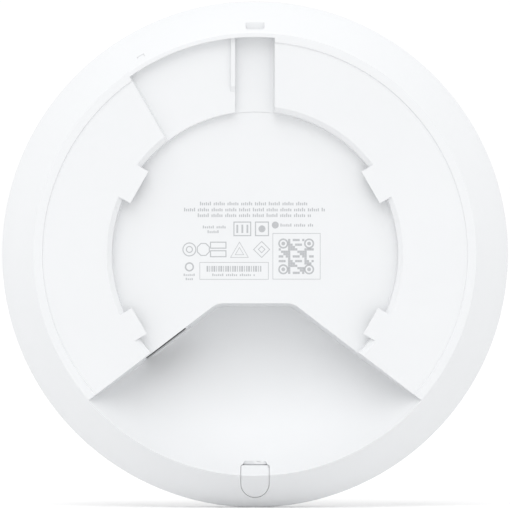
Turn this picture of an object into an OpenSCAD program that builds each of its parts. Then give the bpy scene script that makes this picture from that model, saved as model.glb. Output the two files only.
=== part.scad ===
// Ceiling access point, standing on its rim with its back to the viewer.
// Row frame: +Z up, the back faces -Y, origin on the unit's axis in the plane of the back rim.
// Every sub-part is drawn lying down, back upwards: x to the right, y up the unit, z out of the
// back, so depths into the body are negative z. upright() then stands it up in the row frame.

/* [Body] */
// Outside diameter of the unit
unit_d = 160; // [159:0.5:161]
// Thickness from the back rim to the crown of the front cover
unit_h = 31.45; // [31.2:0.05:32]
// Wall thickness of both covers
wall_t = 2; // [1.8:0.1:2.2]
// Roundness of the dome, 2 is an ellipse and more is boxier
dome_n = 2.2; // [2.1:0.05:2.4]

/* [Back rim] */
// Outer radius of the flat lip that meets the ceiling
lip_r = 69.75; // [69.65:0.05:69.85]
// Width of the flat lip
lip_w = 2.85; // [2.7:0.05:3]
// Height of the lip above the land inside it
lip_step = 0.4; // [0.3:0.05:0.5]
// Outer radius of the bevelled rim
bevel_r = 79.6; // [79.4:0.1:79.7]
// Depth of the bevelled rim
bevel_depth = 9; // [8.9:0.1:9.1]
// Height of the chamfer between the bevel and the side
edge_h = 0.6; // [0.4:0.1:0.8]

/* [Bracket recess] */
// Radius of the central recess at its floor
recess_floor_r = 44.9; // [44.5:0.1:45.2]
// Radius of the central recess at the land
recess_top_r = 46.75; // [46.6:0.05:46.9]
// Height of the chamfer round the recess
recess_chamfer_h = 1.2; // [1.1:0.1:1.4]
// Depth of the central recess below the rim
recess_depth = 4.6; // [4.5:0.05:4.8]
// Distance from the axis to the straight edge of each bayonet lug
lug_r = 42.05; // [41.8:0.05:42.4]
// Thickness of a bayonet lug
lug_t = 1.6; // [1.4:0.1:1.8]
// Width of the two upper lugs
lug_upper_w = 11.6; // [11:0.1:12]
// Width of the two lower lugs
lug_lower_w = 9.4; // [9:0.1:10]
// Width of the radial channel at 12 o'clock
channel_w = 12.5; // [12:0.1:13]
// Depth of the radial channel
channel_depth = 4.4; // [4.3:0.05:4.5]
// Depth of the pocket beside the channel
pocket_depth = 2.6; // [2.4:0.1:2.8]
// Angle that the pocket sweeps round from the channel
pocket_sweep = 30; // [28:1:31]
// Draft of the pocket's far wall
pocket_draft = 13; // [10:1:15]
// Outer radius of the channel and the pocket
pocket_r = 68.45; // [68.3:0.05:68.6]

/* [Cable bay] */
// Width of the bay's straight upper edge
bay_top_w = 24; // [23:0.5:25]
// Height of that edge below the axis
bay_top_y = 15.5; // [15.2:0.1:15.8]
// Slope of the bay's side walls below the horizontal
bay_slope = 37.4; // [37:0.1:37.8]
// Corner radius of the bay's outline
bay_corner_r = 6.5; // [6:0.5:7]
// Greatest depth of the bay
bay_depth = 21.5; // [21.2:0.1:21.6]
// Radius within which the bay's floor is flat
bay_flat_r = 28; // [27:0.5:29]
// Draft of the bay's walls
bay_draft = 4; // [3.5:0.1:4.2]

/* [Cable door] */
// Width of the U-shaped door
door_w = 8.8; // [8.6:0.05:9]
// Gap round the door
door_gap = 0.12; // [0.1:0.01:0.2]
// Distance from the axis to the door's straight upper edge
door_top_r = 66.55; // [66.4:0.05:66.7]
// Distance from the axis to the centre of its round end
door_end_r = 72.35; // [72.2:0.05:72.5]

/* [Ports] */
// Distance of the Ethernet port along the bay's left wall
port_at = 20.6; // [20:0.1:21]
// Width of the Ethernet jack
jack_w = 15.3; // [15:0.1:15.6]
// How far the jack stands out of the upper edge of the wall
jack_front = 0.25; // [0.2:0.01:0.3]
// Width of the shallow recess round the jack
port_window_w = 18.5; // [18:0.1:19]
// Radius of the reset pinhole
reset_hole_r = 1.1; // [1:0.05:1.2]

/* [Front] */
// Inner radius of the light ring
ring_in_r = 28.4; // [28:0.1:29]
// Visible width of the light ring
ring_w = 1.8; // [1.6:0.1:2]

/* [Hidden] */
$fn = 96;
eps = 0.01;
far = 200;

// outer covers: they meet at seam_z, and outside seat_r a narrow groove is left between them
unit_r = unit_d / 2;
side_h = 0.8;
seam_z = -bevel_depth - edge_h - side_h;
groove_h = 0.15;
seat_r = unit_r - 0.8;
dome_in_r = unit_r - wall_t - 0.4;
dome_steps = 40;
skirt_r = dome_in_r - 0.9;
skirt_t = 1.6;
skirt_end = seam_z - 3.1;
hook_count = 6;
hook_sweep = 7;

// bay floor: an arc turned about the axis, level at bay_flat_r and rising to a sharp edge with
// the bevel, just outside the lip
bay_rim_r = lip_r + 0.15;
bay_run = bay_rim_r - bay_flat_r;
bay_arc_r = (bay_run * bay_run + bay_depth * bay_depth) / (2 * bay_depth);
bay_arc_z = bay_arc_r - bay_depth;
bay_corner_x = bay_top_w / 2 - bay_corner_r * tan(bay_slope / 2);
bay_corner_y = -bay_top_y - bay_corner_r;
bay_floor_t = 1.2;

// cable door: floor and thickness of the well that it closes, its corners, the notch above it
well_floor = -8.2;
well_t = 1.2;
door_corner_r = 0.5;
notch_top_r = door_top_r - 1.25;

// Ethernet port, drawn in a frame whose +Y is straight out of the port into the bay
port_x = -bay_top_w / 2 - port_at * cos(bay_slope);
port_y = -bay_top_y - port_at * sin(bay_slope);
port_turn = 180 + bay_slope;
jack_back = -17.1;
jack_top = -recess_depth - wall_t - 0.3;
plug_half = 5.9;
plug_low = -16.2;
plug_high = -8.9;
peg_at = [5.7, -9];
peg_r = 1.5;
reset_x = -13.6;
reset_z = -16.2;

// circuit board and what stands on it
board_r = 62;
board_top = -18.4;
board_t = 1.6;
board_bottom = board_top - board_t;
board_edge_gap = 3;
boss_r = 3;
slim_boss_r = 2.1;
pilot_r = 1.12;
screw_r = 1.1;
edge_bosses = [[50.8, 23.7], [0, 56], [-50.8, 23.7], [53, -24], [-53, -24]];
core_bosses = [[-20.5, 31], [5, 31], [9.5, -5.5]];
screw_points = concat(edge_bosses, core_bosses);

// shields: centre, size
cpu_at = [-8, 12];
cpu_size = [30, 28];
radio_at = [[24, 24], [24, 1]];
radio_size = [24, 18];
sheet_t = 0.3;
frame_h = 1.9;
lid_top = board_top + 2.6;
chip_h = 1.2;
pad_t = 0.8;
spreader_t = 1.2;
spreader_bottom = lid_top + pad_t;
spreader_top = spreader_bottom + spreader_t;
spreader_low = [-26, -9];
spreader_size = [64, 44];

// light path
flange_z = -28;
flange_t = 1;
led_r = 29.6;
led_angles = [for (k = [0:5]) k * 36];
led_h = 0.8;
guide_top = -24.4;

// ---------------------------------------------------------------- shared geometry

module upright() {
    rotate([90, 0, 0]) children();
}

// Depth of the bevelled rim's surface at radius r
function bevel_z(r) = -(r - lip_r) * bevel_depth / (bevel_r - lip_r);

// Height of the bay's floor at radius r, outside its level middle
function bay_z(r) = bay_arc_z - sqrt(bay_arc_r * bay_arc_r - pow(r - bay_flat_r, 2));

// Half a dome as [r, z], from radius `from_r` out to its widest radius `a`
function dome_curve(a, b, z0, from_r) =
    let (t0 = acos(pow(from_r / a, dome_n / 2)))
    [for (i = [0:dome_steps]) let (t = t0 * (1 - i / dome_steps))
        [a * pow(cos(t), 2 / dome_n), z0 - b * pow(sin(t), 2 / dome_n)]];

function outer_dome(from_r) =
    dome_curve(unit_r, unit_h + seam_z - groove_h, seam_z - groove_h, from_r);
function inner_dome(from_r) =
    dome_curve(dome_in_r, unit_h - wall_t + seam_z, seam_z, from_r);

function reversed(list) = [for (i = [len(list) - 1:-1:0]) list[i]];

// The points of a curve that lie inside radius r
function inside(curve, r) = [for (p = curve) if (p[0] < r) p];

// Height of the outer dome's surface at radius r
function dome_z(r) =
    let (top = seam_z - groove_h)
    top - (unit_h + top) * pow(1 - pow(r / unit_r, dome_n), 1 / dome_n);
function inner_dome_z(r) =
    seam_z - (unit_h - wall_t + seam_z)
        * pow(1 - pow(r / dome_in_r, dome_n), 1 / dome_n);

module tube(r_in, r_out, low, high) {
    translate([0, 0, low]) difference() {
        cylinder(h = high - low, r = r_out);
        translate([0, 0, -1]) cylinder(h = high - low + 2, r = r_in);
    }
}

module block(at, size, low, high) {
    translate([at[0] - size[0] / 2, at[1] - size[1] / 2, low])
        cube([size[0], size[1], high - low]);
}

module in_port_frame() {
    translate([port_x, port_y, 0]) rotate([0, 0, port_turn]) children();
}

// Outline of the cable bay carried down with its draft, `grow` outside the visible wall
module bay_prism(grow) {
    low = -bay_depth - 4;
    high = 2;
    reach = far / 2;
    top_r = bay_corner_r + grow + (high + recess_depth) * tan(bay_draft);
    low_r = bay_corner_r + grow + (low + recess_depth) * tan(bay_draft);
    hull() {
        for (side = [-1, 1]) {
            translate([side * bay_corner_x, bay_corner_y, low])
                cylinder(h = high - low, r1 = low_r, r2 = top_r);
            translate([side * (bay_corner_x + reach * cos(bay_slope)),
                    bay_corner_y - reach * sin(bay_slope), low])
                cylinder(h = high - low, r1 = low_r, r2 = top_r);
        }
    }
}

// Everything above the bay's concave floor, `below` under its visible surface
module bay_bowl(below) {
    rotate_extrude() {
        intersection() {
            translate([bay_flat_r, bay_arc_z]) circle(r = bay_arc_r + below);
            translate([bay_flat_r - eps, -bay_depth - below])
                square([bay_run + 8, bay_depth + below + 3]);
        }
        translate([0, -bay_depth - below]) square([bay_flat_r, bay_depth + below + 3]);
    }
}

// Outline of the visible back from the axis to the side: land, lip, bevel and chamfer
back_outline = [[0, -lip_step], [lip_r - lip_w, -lip_step], [lip_r - lip_w + 0.2, 0], [lip_r, 0],
    [bevel_r, -bevel_depth], [unit_r, -bevel_depth - edge_h]];

// Space under the visible back: nothing of the back cover stands outside it
module back_envelope() {
    rotate_extrude() polygon(concat(back_outline, [[unit_r, -unit_h], [0, -unit_h]]));
}

// U-shaped outline of the cable door, with two small corners at its straight edge
module door_outline(grow) {
    half = door_w / 2 + grow;
    top = -door_top_r + grow;
    r = max(door_corner_r + grow, 0.1);
    translate([-half, -door_end_r]) square([2 * half, door_end_r + top - r]);
    translate([-half + r, -door_end_r]) square([2 * (half - r), door_end_r + top]);
    for (side = [-1, 1]) translate([side * (half - r), top - r]) circle(r = r);
    translate([0, -door_end_r]) circle(r = half);
}

// ---------------------------------------------------------------- back cover

// The radial channel's section is drafted, so it is extruded along y
module channel_cut() {
    half = channel_w / 2;
    lean = channel_depth * tan(6);
    intersection() {
        translate([0, far / 2, 0]) rotate([90, 0, 0]) linear_extrude(far / 2)
            polygon([[-half, -channel_depth], [half - lean, -channel_depth],
                [half, -lip_step], [half, 2], [-half, 2]]);
        cylinder(h = 30, r = pocket_r, center = true);
    }
}

// The pocket is the channel's left wall swept round the axis, with more draft at its far end
module pocket_cut(grow) {
    half = channel_w / 2;
    intersection() {
        translate([0, 0, -pocket_depth - grow]) cylinder(h = 30, r = pocket_r + grow);
        translate([1 - half - far, 0, -15]) cube([far, far, 30]);
        rotate([0, 0, pocket_sweep]) translate([-half - grow, 0, -lip_step])
            rotate([0, -pocket_draft, 0]) translate([0, 0, -far / 2]) cube(far);
    }
}

// Low rib along the channel's left edge, with a ramp at its inner end
module channel_rib() {
    rib_w = 1.4;
    rib_from = 51.2;
    ramp = 1.8;
    low = -pocket_depth - 1;
    high = -pocket_depth + 1;
    translate([-channel_w / 2, 0, 0]) rotate([90, 0, -90]) linear_extrude(rib_w)
        polygon([[-rib_from, low], [-rib_from, -pocket_depth], [-rib_from - ramp, high],
            [-pocket_r - 1, high], [-pocket_r - 1, low]]);
}

module lugs() {
    for (lug = [[30, lug_upper_w], [150, lug_upper_w], [210, lug_lower_w], [330, lug_lower_w]])
        rotate([0, 0, lug[0]]) translate([lug_r, -lug[1] / 2, -lip_step - lug_t])
            cube([8, lug[1], lug_t + 3]);
}

// A steep wall under a chamfer, whose slope is carried on above the land
module recess_cut() {
    wall_r = recess_floor_r + 0.3;
    above = 1;
    over = above * (recess_top_r - wall_r) / recess_chamfer_h;
    difference() {
        rotate_extrude() polygon([[0, -recess_depth], [recess_floor_r, -recess_depth],
            [wall_r, -lip_step - recess_chamfer_h], [recess_top_r + over, -lip_step + above],
            [0, -lip_step + above]]);
        lugs();
    }
}

// Shell of lip, land, bevel and skirt
module rim_shell() {
    slope = atan(bevel_depth / (bevel_r - lip_r));
    under = -lip_step - wall_t;
    // where the bevel's inner face meets the land's underside and the skirt
    bend_r = lip_r + (-under - wall_t / cos(slope)) / tan(slope);
    skirt_in = skirt_r - skirt_t;
    skirt_z = bevel_z(skirt_in) - wall_t / cos(slope);
    rotate_extrude() polygon(concat(back_outline, [[unit_r, seam_z], [skirt_r, seam_z],
        [skirt_r, skirt_end], [skirt_in, skirt_end], [skirt_in, skirt_z], [bend_r, under],
        [0, under]]));
}

// Snap hooks round the skirt; `grow` makes the space that each needs in the front cover
module hooks(grow) {
    root = skirt_r - skirt_t / 2;
    tip = skirt_r + 0.8 + grow;
    low = seam_z - 3 - grow;
    nose = seam_z - 2.1;
    high = seam_z - 1.7 + grow;
    for (k = [0:hook_count - 1])
        rotate([0, 0, k * 360 / hook_count - hook_sweep / 2 - 2 * grow])
            rotate_extrude(angle = hook_sweep + 4 * grow)
                polygon([[root, low], [tip - 0.5, low], [tip, nose], [tip, high], [root, high]]);
}

module bosses() {
    for (p = edge_bosses) translate([p[0], p[1], board_top])
        cylinder(h = -board_top - 2, r = boss_r);
    for (p = core_bosses) {
        translate([p[0], p[1], board_top]) cylinder(h = -board_top - 5, r = slim_boss_r);
        translate([p[0], p[1], spreader_top]) cylinder(h = -spreader_top - 5, r = boss_r + 0.2);
    }
}

module pilot_holes() {
    for (p = screw_points) translate([p[0], p[1], board_top - 1]) cylinder(h = 9.5, r = pilot_r);
}

// Stiffening ribs from the outer bosses to the skirt
module inner_ribs() {
    for (p = edge_bosses) {
        r = norm(p);
        rotate([0, 0, atan2(p[1], p[0])]) translate([r + boss_r - 0.4, -0.6, -9])
            cube([skirt_r - 1 - r - boss_r, 1.2, 9]);
    }
}

module trays() {
    // central recess, channel and pocket
    translate([0, 0, -recess_depth - wall_t]) cylinder(h = recess_depth + wall_t, r = recess_top_r + 1);
    intersection() {
        block([0, 55], [channel_w + 2 * wall_t, 40], -channel_depth - wall_t, 0);
        cylinder(h = 40, r = pocket_r + 1.2, center = true);
    }
    intersection() {
        pocket_cut(wall_t);
        cylinder(h = 40, r = pocket_r + 1.2, center = true);
    }
    // cable bay
    intersection() {
        bay_prism(wall_t);
        bay_bowl(bay_floor_t);
    }
    // well under the cable door
    translate([0, 0, well_floor - well_t]) linear_extrude(9.6) door_outline(door_gap + well_t);
    // pad under the alignment notch
    block([0, 72], [9, 5], -5.6, 0);
}

// Slot in the bevel at 12 o'clock that lines the unit up with its bracket
module notch_cut() {
    half = 2.95;
    from_r = 70.85;
    to_r = 73.2;
    r = 0.8;
    translate([0, from_r, bevel_z(to_r)]) linear_extrude(10) {
        translate([-half, r]) square([2 * half, 8]);
        translate([r - half, 0]) square([2 * (half - r), 8]);
        for (side = [-1, 1]) translate([side * (half - r), r]) circle(r = r);
    }
}

// Small wedge-shaped twist mark engraved in the bevel
module twist_mark_cut() {
    depth = 0.25;
    mark_r = 71.9;
    from_r = mark_r - 1.5;
    to_r = mark_r + 1.5;
    intersection() {
        rotate([0, 0, 120]) translate([mark_r, 0, -10]) linear_extrude(20)
            polygon([[0.45, -1.15], [0.45, 1.15], [-0.1, 1.15], [-0.45, -1.15]]);
        rotate_extrude() polygon([[from_r, bevel_z(from_r) - depth],
            [to_r, bevel_z(to_r) - depth], [to_r, 5], [from_r, 5]]);
    }
}

// Ramp that dips under the door's straight edge, so that a fingertip can pull it
module finger_notch_cut() {
    depth = 0.32;
    top_half = 3;
    end_half = 4.2;
    end_r = door_top_r + 0.3;
    intersection() {
        translate([0, 0, -15]) linear_extrude(30)
            polygon([[-top_half, -notch_top_r + 0.3], [top_half, -notch_top_r + 0.3],
                [end_half, -end_r], [-end_half, -end_r]]);
        rotate_extrude() polygon([[notch_top_r, bay_z(notch_top_r)],
            [end_r, bay_z(notch_top_r) - depth], [end_r, 5], [notch_top_r - 2, 5],
            [notch_top_r - 2, bay_z(notch_top_r - 2) + 0.1]]);
    }
}

// One straight cut through the bay's left wall, from its section across the wall
module port_slot(width, section) {
    in_port_frame() translate([-width / 2, 0, 0]) rotate([90, 0, 90]) linear_extrude(width)
        polygon(section);
}

// Window for the jack in a wider shallow recess: neither is ever lower than the bay's floor
module port_window_cut() {
    low = board_top + 0.3;
    high = -recess_depth - wall_t + 0.2;
    lip = -recess_depth - 0.6;
    lip_in = 0.3;
    past_jack = jack_front + 0.1;
    recess_in = (-recess_depth - low) * tan(bay_draft) - 0.45;
    intersection() {
        union() {
            port_slot(jack_w + 0.3,
                [[-4, low], [3, low], [3, lip], [-lip_in, lip], [-1.5, high], [-4, high]]);
            port_slot(port_window_w, [[recess_in, low], [3, low], [3, lip], [-lip_in, lip]]);
        }
        union() {
            bay_bowl(0);
            in_port_frame() translate([-far / 2, past_jack - far, -far / 2]) cube(far);
        }
    }
    in_port_frame() {
        // the board and the jack's feet pass under the window
        translate([-jack_w / 2 - 0.4, -4, board_bottom - 0.3])
            cube([jack_w + 0.8, 4 + past_jack, 4]);
        translate([reset_x, 6, reset_z]) rotate([90, 0, 0]) cylinder(h = 12, r = reset_hole_r);
    }
}

module back_cover() {
    color("white") upright() difference() {
        union() {
            intersection() {
                union() {
                    rim_shell();
                    trays();
                    inner_ribs();
                }
                back_envelope();
            }
            bosses();
            hooks(0);
        }
        difference() {
            union() {
                recess_cut();
                channel_cut();
                pocket_cut(0);
            }
            channel_rib();
        }
        intersection() {
            bay_prism(0);
            bay_bowl(0);
        }
        notch_cut();
        twist_mark_cut();
        finger_notch_cut();
        translate([0, 0, well_floor]) linear_extrude(12) door_outline(door_gap);
        port_window_cut();
        pilot_holes();
    }
}

// ---------------------------------------------------------------- cable door

// A lid that follows the bay's slope and then the bevel, with a skirt down into its well
module cable_door() {
    lid_t = 2.2;
    wall = 1.1;
    color("white") upright() difference() {
        intersection() {
            translate([0, 0, well_floor + 0.2]) linear_extrude(20) door_outline(0);
            back_envelope();
        }
        bay_bowl(0);
        intersection() {
            translate([0, 0, -30]) linear_extrude(60) door_outline(-wall);
            rotate_extrude() polygon([[60, -20], [60, bay_z(door_top_r) - lid_t - 5],
                [door_top_r, bay_z(door_top_r) - lid_t], [lip_r, -lid_t - 0.4],
                [bevel_r, bevel_z(bevel_r) - lid_t], [bevel_r, -20]]);
        }
    }
}

// ---------------------------------------------------------------- front

module front_cover() {
    hole_r = ring_in_r + ring_w + 0.2;
    foot_r = hole_r + 1.4;
    color("white") upright() difference() {
        rotate_extrude() polygon(concat(
            outer_dome(hole_r),
            [[seat_r, seam_z - groove_h], [seat_r, seam_z]],
            reversed(inner_dome(foot_r)),
            [[foot_r, flange_z], [hole_r, flange_z]]));
        hooks(0.25);
    }
}

module front_disc() {
    edge_r = ring_in_r - 0.2;
    foot_r = edge_r - 1.4;
    outer = inside(outer_dome(0), edge_r);
    inner = inside(inner_dome(0), foot_r);
    color("whitesmoke") upright() rotate_extrude() polygon(concat(
        outer, [[edge_r, dome_z(edge_r)], [edge_r, flange_z], [foot_r, flange_z],
            [foot_r, inner_dome_z(foot_r)]], reversed(inner)));
}

module light_ring() {
    out_r = ring_in_r + ring_w;
    color("aliceblue") upright() rotate_extrude() polygon([
        [ring_in_r, dome_z(ring_in_r)], [out_r, dome_z(out_r)], [out_r, flange_z],
        [out_r + 2.2, flange_z], [out_r + 2.2, flange_z + flange_t],
        [ring_in_r - 1.8, flange_z + flange_t], [ring_in_r - 1.8, flange_z],
        [ring_in_r, flange_z]]);
}

module light_guide() {
    color("lightcyan") upright() {
        tube(27.4, 31.8, flange_z + flange_t, guide_top);
        for (a = led_angles) rotate([0, 0, a]) translate([led_r, 0, guide_top - 0.5])
            cylinder(h = board_bottom - led_h - 0.4 - guide_top + 0.5, r = 1.5);
    }
}

module light_baffle() {
    color("dimgray") upright() tube(32.6, 33.6, -27.9, guide_top + 0.4);
}

module status_leds() {
    color("gold") upright() for (a = led_angles) rotate([0, 0, a]) translate([led_r, 0, 0])
        block([0, 0], [1.6, 2.8], board_bottom - led_h, board_bottom);
}

// ---------------------------------------------------------------- circuit board

module main_board() {
    color("darkgreen") upright() difference() {
        translate([0, 0, board_bottom]) cylinder(h = board_t, r = board_r);
        bay_prism(board_edge_gap);
        for (p = screw_points) translate([p[0], p[1], board_bottom - 1])
            cylinder(h = board_t + 2, r = 1.4);
        in_port_frame() for (side = [-1, 1])
            translate([side * peg_at[0], peg_at[1], board_bottom - 1])
                cylinder(h = board_t + 2, r = peg_r + 0.1);
    }
}

module board_screws() {
    head_h = 1.6;
    color("silver") upright() for (p = screw_points) translate([p[0], p[1], 0]) difference() {
        union() {
            translate([0, 0, board_bottom - head_h]) cylinder(h = head_h, r = 2.2);
            translate([0, 0, board_bottom - eps]) cylinder(h = 8, r = screw_r);
        }
        // cross drive
        for (turn = [0, 90]) rotate([0, 0, turn])
            block([0, 0], [2.4, 0.6], board_bottom - head_h - 1, board_bottom - head_h + 0.9);
    }
}

module rounded_plate(low, size, r) {
    translate([low[0] + r, low[1]]) square([size[0] - 2 * r, size[1]]);
    translate([low[0], low[1] + r]) square([size[0], size[1] - 2 * r]);
    for (x = [r, size[0] - r], y = [r, size[1] - r]) translate([low[0] + x, low[1] + y]) circle(r = r);
}

module heat_spreader() {
    color("lightgray") upright() translate([0, 0, spreader_bottom]) linear_extrude(spreader_t)
        difference() {
            rounded_plate(spreader_low, spreader_size, 4);
            for (p = core_bosses) translate([p[0], p[1]]) circle(r = slim_boss_r + 0.15);
            // slots over the gap between the shields
            for (y = [6, 20]) translate([8.3, y]) square([2.4, 8]);
        }
}

module thermal_pads() {
    color("skyblue") upright() {
        block(cpu_at, [22, 20], lid_top, spreader_bottom);
        for (p = radio_at) block(p, [16, 12], lid_top, spreader_bottom);
        block([-13, 10], [12, 12], board_top + chip_h, lid_top - sheet_t);
        for (p = radio_at) block(p, [7, 7], board_top + chip_h, lid_top - sheet_t);
    }
}

module cpu_chip() {
    color("#202022") upright() block([-13, 10], [14, 14], board_top, board_top + chip_h);
}

module memory_chips() {
    color("#202022") upright() {
        block([1, 18], [8, 12], board_top, board_top + 1);
        block([1, 5], [8, 10], board_top, board_top + 1);
    }
}

module radio_chips() {
    color("#202022") upright() for (p = radio_at) {
        block(p, [9, 9], board_top, board_top + chip_h);
        for (dy = [-5, 0, 5]) block([p[0] + 8.5, p[1] + dy], [3, 3], board_top, board_top + 0.9);
    }
}

module shield_frame(at, size) {
    difference() {
        block(at, size, board_top, board_top + frame_h);
        block(at, [size[0] - 2 * sheet_t, size[1] - 2 * sheet_t], board_top - 1, board_top + 5);
    }
}

module shield_lid(at, size) {
    over = 0.1;
    difference() {
        block(at, [size[0] + 2 * (over + sheet_t), size[1] + 2 * (over + sheet_t)],
            board_top + 0.3, lid_top);
        block(at, [size[0] + 2 * over, size[1] + 2 * over], board_top, lid_top - sheet_t);
    }
}

module cpu_shield_frame() {
    color("gainsboro") upright() shield_frame(cpu_at, cpu_size);
}

module cpu_shield_lid() {
    color("silver") upright() shield_lid(cpu_at, cpu_size);
}

module radio_shield_frames() {
    color("gainsboro") upright() for (p = radio_at) shield_frame(p, radio_size);
}

module radio_shield_lids() {
    color("silver") upright() for (p = radio_at) shield_lid(p, radio_size);
}

module power_chips() {
    color("#202022") upright() {
        block([-43, 19], [5, 6], board_top, board_top + 1.5);
        block([-36, 33], [6, 5], board_top, board_top + 1.5);
        block([-24, 44], [4, 4], board_top, board_top + 0.9);
    }
}

module power_inductors() {
    color("#3a3a3c") upright() for (p = [[-34, 14], [-34, 23.5], [-13, 42]])
        translate([0, 0, board_top]) linear_extrude(4)
            rounded_plate([p[0] - 3.5, p[1] - 3.5], [7, 7], 1);
}

module power_capacitors() {
    color("slategray") upright() for (p = [[-33, 3, 9], [-43, 9, 9], [-30, 41, 6]]) {
        translate([p[0], p[1], board_top]) cylinder(h = 1, r = 3.6);
        translate([p[0], p[1], board_top + 1 - eps]) cylinder(h = p[2] - 1, r = 3.4);
    }
}

module chip_capacitors() {
    color("tan") upright() {
        for (k = [0:8]) block([-19 + 3 * k, -6], [1, 2], board_top, board_top + 0.8);
        for (k = [0:7]) block([41, -14 + 3.5 * k], [2, 1], board_top, board_top + 0.8);
        for (k = [0:6]) block([14 + 3 * k, 38], [1, 2], board_top, board_top + 0.8);
    }
}

module crystals() {
    color("silver") upright() for (p = [[-20, 37.5], [45.5, -10]])
        block(p, [3.2, 2.5], board_top, board_top + 0.8);
}

module network_transformer() {
    color("#202022") upright() in_port_frame() {
        block([0, -27], [14, 12], board_top + 0.3, board_top + 5.8);
        for (side = [-1, 1], k = [-4:4])
            block([side * 7.6, -27 + 1.2 * k], [1.4, 0.5], board_top, board_top + 0.6);
    }
}

// ---------------------------------------------------------------- Ethernet port and reset

module ethernet_jack() {
    color("#18181a") upright() in_port_frame() difference() {
        union() {
            translate([-jack_w / 2, jack_back, board_top])
                cube([jack_w, jack_front - jack_back, jack_top - board_top]);
            for (side = [-1, 1]) translate([side * peg_at[0], peg_at[1], board_bottom])
                cylinder(h = board_t + 1, r = peg_r);
        }
        translate([-plug_half, jack_front - 14, plug_low])
            cube([2 * plug_half, 20, plug_high - plug_low]);
        // latch slot on the ceiling side, where a fingertip reaches it
        translate([-3.2, jack_front - 14, plug_high - eps]) cube([6.4, 20, 1.3]);
    }
}

module jack_contacts() {
    color("gold") upright() in_port_frame() for (k = [0:7])
        translate([(k - 3.5) * 1.02 - 0.17, 0, 0]) rotate([90, 0, 90]) linear_extrude(0.35)
            polygon([[-2.4, plug_low], [-3.6, plug_low], [-11.4, -14.1], [-13.6, -14.1],
                [-13.6, -13.7], [-11.3, -13.7]]);
}

module reset_switch() {
    color("#2a2a2c") upright() in_port_frame() difference() {
        block([reset_x, -7.6], [4.8, 4], board_top, board_top + 4);
        translate([reset_x, -4, reset_z]) rotate([90, 0, 0]) cylinder(h = 3, r = 1.3);
    }
}

module reset_button() {
    color("ivory") upright() in_port_frame() translate([reset_x, -3.4, reset_z])
        rotate([90, 0, 0]) cylinder(h = 3, r = 1.2);
}

// ---------------------------------------------------------------- antennas

// Stamped inverted-F strip on two legs, drawn at 3 o'clock and turned to `angle`
module antenna(angle, length, height) {
    strip_w = 4;
    upright() rotate([0, 0, angle]) translate([55, 0, board_top]) {
        translate([-strip_w / 2, -length / 2, height]) cube([strip_w, length, sheet_t]);
        for (y = [-length / 2, -length / 2 + 5])
            translate([-0.8, y, 0]) cube([1.6, sheet_t, height + eps]);
        translate([-strip_w / 2, length / 2 - sheet_t, height - 2]) cube([strip_w, sheet_t, 2 + eps]);
    }
}

module antenna_2g_left() {
    color("goldenrod") antenna(125, 28, 8);
}

module antenna_2g_right() {
    color("goldenrod") antenna(55, 28, 8);
}

module antenna_5g_left() {
    color("goldenrod") antenna(170, 14, 7);
}

module antenna_5g_right() {
    color("goldenrod") antenna(10, 14, 7);
}

back_cover();
front_cover();
front_disc();
light_ring();
light_guide();
light_baffle();
status_leds();
main_board();
board_screws();
heat_spreader();
thermal_pads();
cpu_chip();
memory_chips();
cpu_shield_frame();
cpu_shield_lid();
radio_chips();
radio_shield_frames();
radio_shield_lids();
power_chips();
power_inductors();
power_capacitors();
chip_capacitors();
crystals();
network_transformer();
ethernet_jack();
jack_contacts();
reset_switch();
reset_button();
antenna_2g_left();
antenna_2g_right();
antenna_5g_left();
antenna_5g_right();
cable_door();
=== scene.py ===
import math

import bpy
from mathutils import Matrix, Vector


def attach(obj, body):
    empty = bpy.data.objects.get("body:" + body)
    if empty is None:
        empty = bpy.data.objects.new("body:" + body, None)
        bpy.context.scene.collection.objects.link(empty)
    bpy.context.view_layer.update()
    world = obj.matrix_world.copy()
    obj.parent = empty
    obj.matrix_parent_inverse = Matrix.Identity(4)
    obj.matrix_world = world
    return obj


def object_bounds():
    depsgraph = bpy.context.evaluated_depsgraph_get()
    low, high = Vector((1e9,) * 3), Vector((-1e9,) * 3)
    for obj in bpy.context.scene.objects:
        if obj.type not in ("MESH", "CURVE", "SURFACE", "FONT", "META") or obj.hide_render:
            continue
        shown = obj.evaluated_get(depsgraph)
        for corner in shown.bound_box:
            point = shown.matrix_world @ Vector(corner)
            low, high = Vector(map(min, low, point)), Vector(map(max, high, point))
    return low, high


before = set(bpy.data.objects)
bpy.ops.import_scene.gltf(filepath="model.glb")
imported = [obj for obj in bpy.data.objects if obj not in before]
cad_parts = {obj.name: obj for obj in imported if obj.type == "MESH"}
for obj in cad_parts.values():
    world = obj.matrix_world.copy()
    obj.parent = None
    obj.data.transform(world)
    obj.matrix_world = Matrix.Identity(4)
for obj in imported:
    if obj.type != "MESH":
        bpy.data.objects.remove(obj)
cad_low, cad_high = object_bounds()

MM = 0.001
MICRON = 1e-6

# ---------------------------------------------------------------- where things are

centre = (cad_low + cad_high) / 2
unit_d = cad_high.x - cad_low.x
standing_z = cad_low.z

# Distance of the lens from the back rim
CAMERA_FAR = 3.0
# Width of the picture at the unit's widest ring, which lies at WIDEST_Y
PICTURE_WIDTH = unit_d * 1.0075
WIDEST_Y = 9.5 * MM
# How far the picture's centre lies under the unit's
PICTURE_DROP = 0.25 * MM
SENSOR_WIDTH = 36.0

# The printed floor of the bracket recess
LABEL_Y = 4.6 * MM
INK_T = 0.02 * MM


# ---------------------------------------------------------------- node helpers

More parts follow.
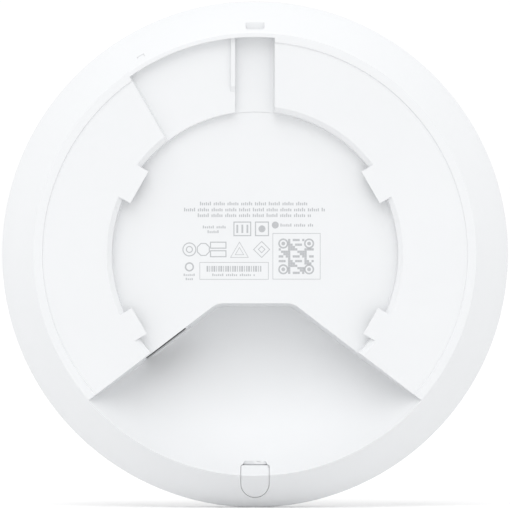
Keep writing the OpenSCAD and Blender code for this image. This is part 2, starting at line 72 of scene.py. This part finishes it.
class Shader:
    """A new material whose nodes are added one call at a time."""

    def __init__(self, name):
        self.material = bpy.data.materials.new(name)
        self.material.use_nodes = True
        self.tree = self.material.node_tree
        self.bsdf = self.tree.nodes["Principled BSDF"]
        self.place = self.add("ShaderNodeTexCoord").outputs["Object"]

    def add(self, kind, **sockets):
        node = self.tree.nodes.new(kind)
        for name, value in sockets.items():
            node.inputs[name.replace("_", " ")].default_value = value
        return node

    def link(self, out, node, socket):
        self.tree.links.new(out, node.inputs[socket])

    def fixed(self, **sockets):
        """Values that are the same all over, set on the shader's own sockets."""
        for name, value in sockets.items():
            self.bsdf.inputs[name.replace("_", " ")].default_value = value

    def noise(self, grain, detail=2.0, stretch=None):
        """Noise whose cells are about `grain` metres across; a small `stretch` makes them long."""
        node = self.add("ShaderNodeTexNoise", Scale=1 / grain, Detail=detail)
        if stretch:
            mapping = self.add("ShaderNodeMapping", Scale=stretch)
            self.link(self.place, mapping, "Vector")
            self.link(mapping.outputs["Vector"], node, "Vector")
        else:
            self.link(self.place, node, "Vector")
        return node.outputs["Fac"]

    def ramp(self, fac, low, high):
        """Colour by `fac`: both stops are a position and a grey or a colour."""
        node = self.add("ShaderNodeValToRGB")
        for point, (at, colour) in zip(node.color_ramp.elements, (low, high)):
            point.position = at
            point.color = (colour,) * 3 + (1,) if isinstance(colour, float) else (*colour, 1)
        self.link(fac, node, "Fac")
        return node.outputs["Color"]

    def spread(self, fac, from_low, from_high, to_low, to_high):
        """`fac` carried from one range of values to another."""
        node = self.add("ShaderNodeMapRange")
        for name, value in zip(("From Min", "From Max", "To Min", "To Max"),
                               (from_low, from_high, to_low, to_high)):
            node.inputs[name].default_value = value
        self.link(fac, node, "Value")
        return node.outputs["Result"]

    def mix(self, fac, a, b):
        """Colour `a` where `fac` is 0 and the fixed colour `b` where it is 1; `a` may be fixed too."""
        node = self.tree.nodes.new("ShaderNodeMix")
        node.data_type = "RGBA"
        # a colour mix keeps its own sockets after those for numbers and vectors
        fac_in, a_in, b_in, out = node.inputs[0], node.inputs[6], node.inputs[7], node.outputs[2]
        self.tree.links.new(fac, fac_in)
        if isinstance(a, tuple):
            a_in.default_value = (*a, 1)
        else:
            self.tree.links.new(a, a_in)
        b_in.default_value = (*b, 1)
        return out

    def colour(self, out):
        self.link(out, self.bsdf, "Base Color")

    def roughness(self, out):
        self.link(out, self.bsdf, "Roughness")

    def bump(self, *layers):
        """Bumps one on another: each is a height output and its depth in metres."""
        normal = None
        for height, depth in layers:
            node = self.add("ShaderNodeBump", Strength=1.0, Distance=depth)
            self.link(height, node, "Height")
            if normal is not None:
                self.link(normal, node, "Normal")
            normal = node.outputs["Normal"]
        self.link(normal, self.bsdf, "Normal")


# ---------------------------------------------------------------- materials

def tinted(colour, share):
    return tuple(c * share for c in colour)


def moulded_plastic(name, colour, grain, depth, rough, cloud=0.012):
    """Injection-moulded plastic: a fine spark-eroded skin over very faint flow clouds."""
    s = Shader(name)
    flow = s.noise(28 * MM, 3.0)
    s.colour(s.ramp(flow, (0.3, tinted(colour, 1 - cloud)), (0.7, colour)))
    skin = s.noise(grain, 3.0)
    patches = s.noise(9 * MM, 2.0)
    s.roughness(s.spread(patches, 0.3, 0.7, rough - 0.03, rough + 0.03))
    s.bump((skin, depth), (flow, 6 * MICRON))
    s.fixed(IOR=1.5)
    return s.material


def white_shell():
    return moulded_plastic("white_polycarbonate", (0.726, 0.736, 0.748), 0.32 * MM,
                           5 * MICRON, 0.46)


def white_disc():
    return moulded_plastic("white_satin_disc", (0.80, 0.812, 0.826), 0.22 * MM,
                           3 * MICRON, 0.36)


def diffuser():
    """Milky light ring: light goes a little way in."""
    s = Shader("milky_diffuser")
    milk = s.noise(3 * MM, 4.0)
    s.colour(s.ramp(milk, (0.3, (0.66, 0.70, 0.735)), (0.7, (0.715, 0.753, 0.78))))
    s.roughness(s.spread(milk, 0.3, 0.7, 0.28, 0.36))
    s.bump((s.noise(0.25 * MM, 2.0), 2 * MICRON))
    s.fixed(IOR=1.49, Subsurface_Weight=0.25, Subsurface_Scale=0.0012,
            Subsurface_Radius=(1.0, 1.0, 1.0))
    return s.material


def clear_guide():
    s = Shader("clear_acrylic")
    streak = s.noise(2 * MM, 3.0, stretch=(1, 0.15, 1))
    s.colour(s.ramp(streak, (0.3, (0.90, 0.95, 0.97)), (0.7, (0.97, 0.99, 1.0))))
    s.roughness(s.spread(streak, 0.3, 0.7, 0.04, 0.10))
    s.fixed(IOR=1.49, Transmission_Weight=0.9)
    return s.material


def foam():
    s = Shader("black_foam")
    cells = s.add("ShaderNodeTexVoronoi", Scale=1 / (0.5 * MM))
    s.link(s.place, cells, "Vector")
    out = cells.outputs["Distance"]
    s.colour(s.ramp(out, (0.0, 0.012), (0.8, 0.045)))
    s.roughness(s.spread(out, 0.0, 0.8, 0.95, 0.8))
    s.bump((out, 120 * MICRON))
    return s.material


def grained_metal(name, colour, grain, stretch, depth, rough, dark=0.82):
    """Rolled or brushed metal: long grain marks in its colour, gloss and surface."""
    s = Shader(name)
    marks = s.noise(grain, 4.0, stretch)
    s.colour(s.ramp(marks, (0.3, tinted(colour, dark)), (0.7, colour)))
    s.roughness(s.spread(marks, 0.3, 0.7, rough - 0.06, rough + 0.08))
    s.bump((marks, depth), (s.noise(6 * MM, 2.0), 10 * MICRON))
    s.fixed(Metallic=1.0)
    return s.material


def tinned_sheet():
    """Tin plate: soft-edged crystal spangle under fine rolling marks."""
    s = Shader("tin_plate")
    crystals = s.add("ShaderNodeTexVoronoi", Scale=1 / (2.5 * MM))
    s.link(s.place, crystals, "Vector")
    spangle = s.ramp(crystals.outputs["Color"], (0.0, (0.62, 0.63, 0.64)), (1.0, (0.80, 0.80, 0.79)))
    s.colour(spangle)
    marks = s.noise(0.3 * MM, 3.0, (1, 1, 0.1))
    s.roughness(s.spread(marks, 0.3, 0.7, 0.24, 0.36))
    s.bump((marks, 4 * MICRON))
    s.fixed(Metallic=1.0)
    return s.material


def led_package():
    s = Shader("led_package")
    gel = s.noise(0.8 * MM, 2.0)
    s.colour(s.ramp(gel, (0.42, (0.85, 0.84, 0.78)), (0.58, (0.86, 0.66, 0.20))))
    s.roughness(s.spread(gel, 0.3, 0.7, 0.25, 0.5))
    s.bump((gel, 30 * MICRON))
    return s.material


def circuit_board():
    """Solder mask over copper tracks, with tinned vias."""
    s = Shader("green_solder_mask")
    tracks = s.add("ShaderNodeTexBrick", Scale=1 / (4 * MM), Mortar_Size=0.03, Brick_Width=0.9)
    turned = s.add("ShaderNodeMapping", Rotation=(math.pi / 2, 0, 0))
    s.link(s.place, turned, "Vector")
    s.link(turned.outputs["Vector"], tracks, "Vector")
    vias = s.add("ShaderNodeTexVoronoi", Scale=1 / (3.2 * MM))
    s.link(turned.outputs["Vector"], vias, "Vector")
    weave = s.noise(0.5 * MM, 2.0)
    mask = s.mix(tracks.outputs["Fac"], (0.008, 0.070, 0.030), (0.020, 0.135, 0.055))
    mask = s.mix(s.ramp(weave, (0.4, 0.0), (0.6, 0.25)), mask, (0.012, 0.095, 0.040))
    via = s.ramp(vias.outputs["Distance"], (0.10, 1.0), (0.13, 0.0))
    s.colour(s.mix(via, mask, (0.62, 0.60, 0.52)))
    s.roughness(s.spread(weave, 0.3, 0.7, 0.28, 0.42))
    s.bump((tracks.outputs["Fac"], 35 * MICRON), (weave, 5 * MICRON))
    return s.material


def grainy(name, colour, light, grain, depth, rough):
    """Matte pressed or cast stuff with a two-tone grain."""
    s = Shader(name)
    specks = s.noise(grain, 4.0)
    s.colour(s.ramp(specks, (0.35, colour), (0.65, light)))
    s.roughness(s.spread(specks, 0.3, 0.7, rough - 0.08, rough + 0.08))
    s.bump((specks, depth))
    return s.material


def spreader_aluminium():
    return grained_metal("brushed_aluminium", (0.80, 0.81, 0.82), 0.25 * MM, (0.06, 1, 1),
                         5 * MICRON, 0.34)


def screw_steel():
    return grained_metal("zinc_plated_steel", (0.70, 0.71, 0.72), 0.2 * MM, (1, 0.2, 1),
                         4 * MICRON, 0.28)


def capacitor_can():
    return grained_metal("drawn_aluminium_can", (0.74, 0.76, 0.78), 0.2 * MM, (1, 0.08, 1),
                         4 * MICRON, 0.30)


def gold_contact():
    return grained_metal("gold_plated_bronze", (0.93, 0.70, 0.30), 0.15 * MM, (1, 0.3, 1),
                         2 * MICRON, 0.18, dark=0.9)


def antenna_brass():
    return grained_metal("stamped_brass", (0.80, 0.66, 0.38), 0.3 * MM, (0.15, 1, 1),
                         5 * MICRON, 0.30)


def thermal_pad():
    return grainy("thermal_silicone", (0.32, 0.45, 0.58), (0.42, 0.55, 0.66), 0.4 * MM,
                  30 * MICRON, 0.75)


def chip_black():
    return grainy("epoxy_moulding", (0.012, 0.012, 0.013), (0.030, 0.030, 0.031), 0.15 * MM,
                  6 * MICRON, 0.55)


def ferrite():
    return grainy("pressed_ferrite", (0.040, 0.040, 0.043), (0.085, 0.085, 0.090), 0.25 * MM,
                  12 * MICRON, 0.6)


def ceramic():
    return grainy("capacitor_ceramic", (0.34, 0.24, 0.15), (0.46, 0.35, 0.24), 0.2 * MM,
                  5 * MICRON, 0.4)


def black_plastic():
    return moulded_plastic("black_polyamide", (0.012, 0.012, 0.014), 0.18 * MM,
                           6 * MICRON, 0.42, cloud=0.3)


def button_plastic():
    return moulded_plastic("ivory_acetal", (0.78, 0.75, 0.66), 0.2 * MM, 4 * MICRON, 0.35)


def printed_ink():
    """Pad-printed grey ink, a little uneven where the film thins."""
    s = Shader("grey_ink")
    film = s.noise(0.35 * MM, 3.0)
    s.colour(s.ramp(film, (0.3, (0.40, 0.41, 0.425)), (0.7, (0.47, 0.48, 0.495))))
    s.roughness(s.spread(film, 0.3, 0.7, 0.5, 0.62))
    s.bump((film, 3 * MICRON))
    return s.material


def pale_floor():
    s = Shader("pale_floor")
    paper = s.noise(60 * MM, 3.0)
    s.colour(s.ramp(paper, (0.3, 0.92), (0.7, 0.93)))
    s.fixed(Roughness=0.9, Specular_IOR_Level=0.1)
    return s.material


FINISHES = {
    "white_shell": white_shell,
    "white_disc": white_disc,
    "diffuser": diffuser,
    "clear_guide": clear_guide,
    "black_foam": foam,
    "led_package": led_package,
    "circuit_board": circuit_board,
    "screw_steel": screw_steel,
    "spreader_aluminium": spreader_aluminium,
    "thermal_pad": thermal_pad,
    "chip_black": chip_black,
    "tinned_sheet": tinned_sheet,
    "ferrite": ferrite,
    "capacitor_can": capacitor_can,
    "ceramic": ceramic,
    "black_plastic": black_plastic,
    "gold_contact": gold_contact,
    "button_plastic": button_plastic,
    "antenna_brass": antenna_brass,
}


def finish_cad_nodes():
    """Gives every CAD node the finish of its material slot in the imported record."""
    made = {slot: build() for slot, build in FINISHES.items()}
    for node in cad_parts.values():
        for material_slot in node.material_slots:
            material_slot.material = made[material_slot.material.name]


# ---------------------------------------------------------------- softened edges

# Edges sharper than CREASE_DEG are rounded, and faces within FLAT_DEG of each other are joined
CREASE_DEG = 28
FLAT_DEG = 0.2
# In millimetres
EDGE_RADIUS = {"back_cover": 0.10, "front_cover": 0.10, "cable_door": 0.08, "front_disc": 0.12,
               "light_ring": 0.08, "ethernet_jack": 0.08}


def crease_group():
    """Geometry nodes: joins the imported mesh's separate faces and marks its sharp edges again."""
    tree = bpy.data.node_groups.new("join_and_crease", "GeometryNodeTree")
    tree.interface.new_socket("Geometry", in_out="INPUT", socket_type="NodeSocketGeometry")
    tree.interface.new_socket("Geometry", in_out="OUTPUT", socket_type="NodeSocketGeometry")
    nodes, links = tree.nodes, tree.links
    start = nodes.new("NodeGroupInput").outputs[0]
    merge = nodes.new("GeometryNodeMergeByDistance")
    merge.inputs["Distance"].default_value = 2 * MICRON
    drop = nodes.new("GeometryNodeRemoveAttribute")
    drop.inputs["Name"].default_value = "custom_normal"
    smooth = nodes.new("GeometryNodeSetShadeSmooth")
    angle = nodes.new("GeometryNodeInputMeshEdgeAngle")
    sharper = nodes.new("FunctionNodeCompare")
    sharper.operation = "GREATER_THAN"
    sharper.inputs[1].default_value = math.radians(CREASE_DEG)
    mark = nodes.new("GeometryNodeStoreNamedAttribute")
    mark.data_type, mark.domain = "BOOLEAN", "EDGE"
    mark.inputs["Name"].default_value = "sharp_edge"
    end = nodes.new("NodeGroupOutput").inputs[0]
    links.new(start, merge.inputs["Geometry"])
    links.new(merge.outputs[0], drop.inputs["Geometry"])
    links.new(drop.outputs[0], smooth.inputs["Geometry"])
    links.new(angle.outputs["Unsigned Angle"], sharper.inputs[0])
    links.new(sharper.outputs[0], mark.inputs["Value"])
    links.new(smooth.outputs[0], mark.inputs["Geometry"])
    links.new(mark.outputs[0], end)
    return tree


def soften_edges():
    group = crease_group()
    for name, radius in EDGE_RADIUS.items():
        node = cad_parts[name]
        join = node.modifiers.new("join_and_crease", "NODES")
        join.node_group = group
        flat = node.modifiers.new("flats", "DECIMATE")
        flat.decimate_type = "DISSOLVE"
        flat.angle_limit = math.radians(FLAT_DEG)
        bevel = node.modifiers.new("moulded_edge", "BEVEL")
        bevel.limit_method = "ANGLE"
        bevel.angle_limit = math.radians(CREASE_DEG)
        bevel.width = radius * MM
        bevel.segments = 2
        bevel.harden_normals = True
        bevel.use_clamp_overlap = False


# ---------------------------------------------------------------- printed marks

class Print:
    """Flat ink shapes on the recess floor, drawn in millimetres as the back is looked at."""

    def __init__(self):
        self.points = []
        self.faces = []

    def shape(self, outline):
        """One closed outline of (x, z) points, anticlockwise, with the ink's own thickness."""
        first, n = len(self.points), len(outline)
        for y in (LABEL_Y - INK_T, LABEL_Y):
            self.points += [(x * MM, y, z * MM) for x, z in outline]
        self.faces.append([first + i for i in range(n)])
        self.faces.append([first + n + i for i in reversed(range(n))])
        self.faces += [[first + (i + 1) % n, first + i, first + n + i, first + n + (i + 1) % n]
                       for i in range(n)]

    def bar(self, x, z, w, h):
        """Filled rectangle centred at (x, z)."""
        self.shape([(x - w / 2, z - h / 2), (x + w / 2, z - h / 2),
                    (x + w / 2, z + h / 2), (x - w / 2, z + h / 2)])

    def box(self, x, z, w, h, line):
        """Rectangle drawn as four thin bars."""
        for side in (-1, 1):
            self.bar(x, z + side * (h - line) / 2, w, line)
            self.bar(x + side * (w - line) / 2, z, line, h - 2 * line)

    def ring(self, x, z, r, line, sides=32, turn=0.0):
        """Ring of flat quads; few sides make a polygon outline."""
        def corner(i, radius):
            a = math.tau * i / sides + turn
            return x + radius * math.cos(a), z + radius * math.sin(a)

        for i in range(sides):
            self.shape([corner(i, r - line), corner(i, r), corner(i + 1, r), corner(i + 1, r - line)])

    def disc(self, x, z, r, sides=24):
        self.shape([(x + r * math.cos(math.tau * i / sides), z + r * math.sin(math.tau * i / sides))
                    for i in range(sides)])

    def dashes(self, x, z, w, h):
        """A run of small upright dashes from x - w/2 to x + w/2, standing for a line of print."""
        pitch = 0.62
        dash_w = 0.35
        heights = (1.0, 0.7, 0.7, 0.85, 0.7)
        gap_every = 7
        for k in range(int(w / pitch)):
            if k % gap_every == gap_every - 1:
                continue
            tall = h * heights[k % len(heights)]
            self.bar(x - w / 2 + (k + 0.5) * pitch, z - (h - tall) / 2, dash_w, tall)

    def piece(self, name):
        mesh = bpy.data.meshes.new(name)
        mesh.from_pydata(self.points, [], self.faces)
        mesh.validate()
        made = bpy.data.objects.new(name, mesh)
        bpy.context.scene.collection.objects.link(made)
        mesh.materials.append(printed_ink())
        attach(made, "unit")


def print_lines():
    """Lines of print above and beside the marks, as runs of dashes."""
    ink = Print()
    long_h = 1.15
    for x, z, w in ((0, 16.0, 35), (0, 14.1, 45), (0, 12.3, 36.4)):
        ink.dashes(x, z, w, long_h)
    for x, z, w, h in ((-12.8, 8.6, 7.6, 0.9), (-12.8, 7.1, 4.6, 0.9), (13.3, 9.2, 10.8, 0.95),
                       (-20.7, -6.5, 3.9, 0.75), (-20.7, -7.8, 2.6, 0.75), (-6.6, -6.5, 14, 0.8)):
        ink.dashes(x, z, w, h)
    ink.piece("printed_lines")


def print_marks():
    """Plain outline shapes in two rows, where a unit of this kind carries its marks."""
    ink = Print()
    line = 0.32
    upper_z, lower_z = 8.0, 1.5
    left_x = -20.7
    # upper row: a box of three bars, a box with a dot, a dot
    box_h = 4.6
    bars_x, dot_x = -4.0, 2.2
    dot_r = 1.1
    ink.box(bars_x, upper_z, 5.6, box_h, line)
    for k in (-1, 0, 1):
        ink.bar(bars_x + 1.6 * k, upper_z, 0.55, 2.6)
    ink.box(dot_x, upper_z, 4.4, box_h, line)
    ink.disc(dot_x, upper_z, dot_r)
    ink.disc(6.4, 9.2, dot_r)
    # lower row: a double ring, an octagon, two boxes, a double triangle, a double diamond
    ring_r = 2.2
    ink.ring(left_x, lower_z, ring_r, line)
    ink.ring(left_x, lower_z, ring_r / 2, line)
    ink.ring(-16.3, lower_z, ring_r, line, sides=8, turn=math.tau / 16)
    for side in (-1, 1):
        ink.box(-11.6, lower_z + side * 1.35, 5.2, 2.2, line)
    for r in (3.4, 1.7):
        ink.ring(-4.9, 0.6, r, line, sides=3, turn=math.tau / 4)
    for r in (2.7, 1.2):
        ink.ring(2.1, lower_z, r, line, sides=4)
    # thick ring under the double one
    ink.ring(left_x, -4.0, 1.45, 0.45)
    ink.piece("printed_marks")


def print_panels():
    """Two outlined panels: even bars in one, an even pattern of squares in the other."""
    ink = Print()
    fine = 0.16
    ink.box(-6.6, -5.25, 21.8, 5.5, fine)
    widths = (0.55, 0.25, 0.4)
    bar_pitch = 0.73
    for k in range(24):
        ink.bar(-15.0 + bar_pitch * k, -4.6, widths[k % len(widths)], 1.8)
    ink.box(13.1, -0.65, 15.1, 14.6, fine)
    mid_x, mid_z = 13.0, -0.7
    cell = 0.74
    filled = cell * 0.96
    half = 7
    for i in range(-half, half + 1):
        for j in range(-half, half + 1):
            corner = abs(i) > 3 and abs(j) > 3
            if not corner and (i * i + 3 * j + i * j) % 7 < 3:
                ink.bar(mid_x + i * cell, mid_z + j * cell, filled, filled)
    corner_at = 5.5 * cell
    for x in (-1, 1):
        for z in (-1, 1):
            ink.ring(mid_x + x * corner_at, mid_z + z * corner_at, 1.6, 0.5)
            ink.disc(mid_x + x * corner_at, mid_z + z * corner_at, 0.6)
    ink.piece("printed_panels")


# ---------------------------------------------------------------- stage, light and camera

def make_floor():
    """A pale floor that the rim stands on, wide enough to reach the horizon."""
    reach = 40.0
    mesh = bpy.data.meshes.new("floor")
    mesh.from_pydata([(-reach, -reach, standing_z), (reach, -reach, standing_z),
                      (reach, reach, standing_z), (-reach, reach, standing_z)], [], [(0, 1, 2, 3)])
    mesh.materials.append(pale_floor())
    floor = bpy.data.objects.new("floor", mesh)
    bpy.context.scene.collection.objects.link(floor)


def make_world():
    """A white studio: a little brighter overhead than below, and plain white where it is seen."""
    seen_strength = 1.02
    # Light by the height it comes from, from -1 straight below to 1 straight above
    heights = {"From Min": -0.6, "From Max": 0.9, "To Min": 0.955, "To Max": 1.005}
    world = bpy.data.worlds.new("studio")
    bpy.context.scene.world = world
    world.use_nodes = True
    tree = world.node_tree
    tree.nodes.clear()
    out = tree.nodes.new("ShaderNodeOutputWorld")
    seen = tree.nodes.new("ShaderNodeBackground")
    seen.inputs["Color"].default_value = (1, 1, 1, 1)
    seen.inputs["Strength"].default_value = seen_strength
    lit = tree.nodes.new("ShaderNodeBackground")
    direction = tree.nodes.new("ShaderNodeTexCoord").outputs["Generated"]
    split = tree.nodes.new("ShaderNodeSeparateXYZ")
    tree.links.new(direction, split.inputs[0])
    height = tree.nodes.new("ShaderNodeMapRange")
    for name, value in heights.items():
        height.inputs[name].default_value = value
    tree.links.new(split.outputs["Z"], height.inputs["Value"])
    tree.links.new(height.outputs["Result"], lit.inputs["Color"])
    kind = tree.nodes.new("ShaderNodeLightPath")
    mix = tree.nodes.new("ShaderNodeMixShader")
    tree.links.new(kind.outputs["Is Camera Ray"], mix.inputs["Fac"])
    tree.links.new(lit.outputs[0], mix.inputs[1])
    tree.links.new(seen.outputs[0], mix.inputs[2])
    tree.links.new(mix.outputs[0], out.inputs["Surface"])


def make_sun():
    """One broad soft light, above and in front, a little to the left."""
    width_deg = 50
    towards = Vector((0.08, 0.60, -0.80))
    light = bpy.data.lights.new("softbox", "SUN")
    light.energy = 1.0
    light.angle = math.radians(width_deg)
    lamp = bpy.data.objects.new("softbox", light)
    bpy.context.scene.collection.objects.link(lamp)
    lamp.rotation_euler = towards.to_track_quat("-Z", "Y").to_euler()


def make_camera():
    """A long lens square on to the back."""
    data = bpy.data.cameras.new("camera")
    data.sensor_width = SENSOR_WIDTH
    data.lens = SENSOR_WIDTH * (CAMERA_FAR + WIDEST_Y) / PICTURE_WIDTH
    data.clip_end = 200
    camera = bpy.data.objects.new("camera", data)
    bpy.context.scene.collection.objects.link(camera)
    camera.location = (0, -CAMERA_FAR, centre.z - PICTURE_DROP)
    camera.rotation_euler = (math.pi / 2, 0, 0)
    bpy.context.scene.camera = camera


bpy.context.scene.view_settings.view_transform = "Standard"
finish_cad_nodes()
soften_edges()
print_lines()
print_marks()
print_panels()
make_floor()
make_world()
make_sun()
make_camera()
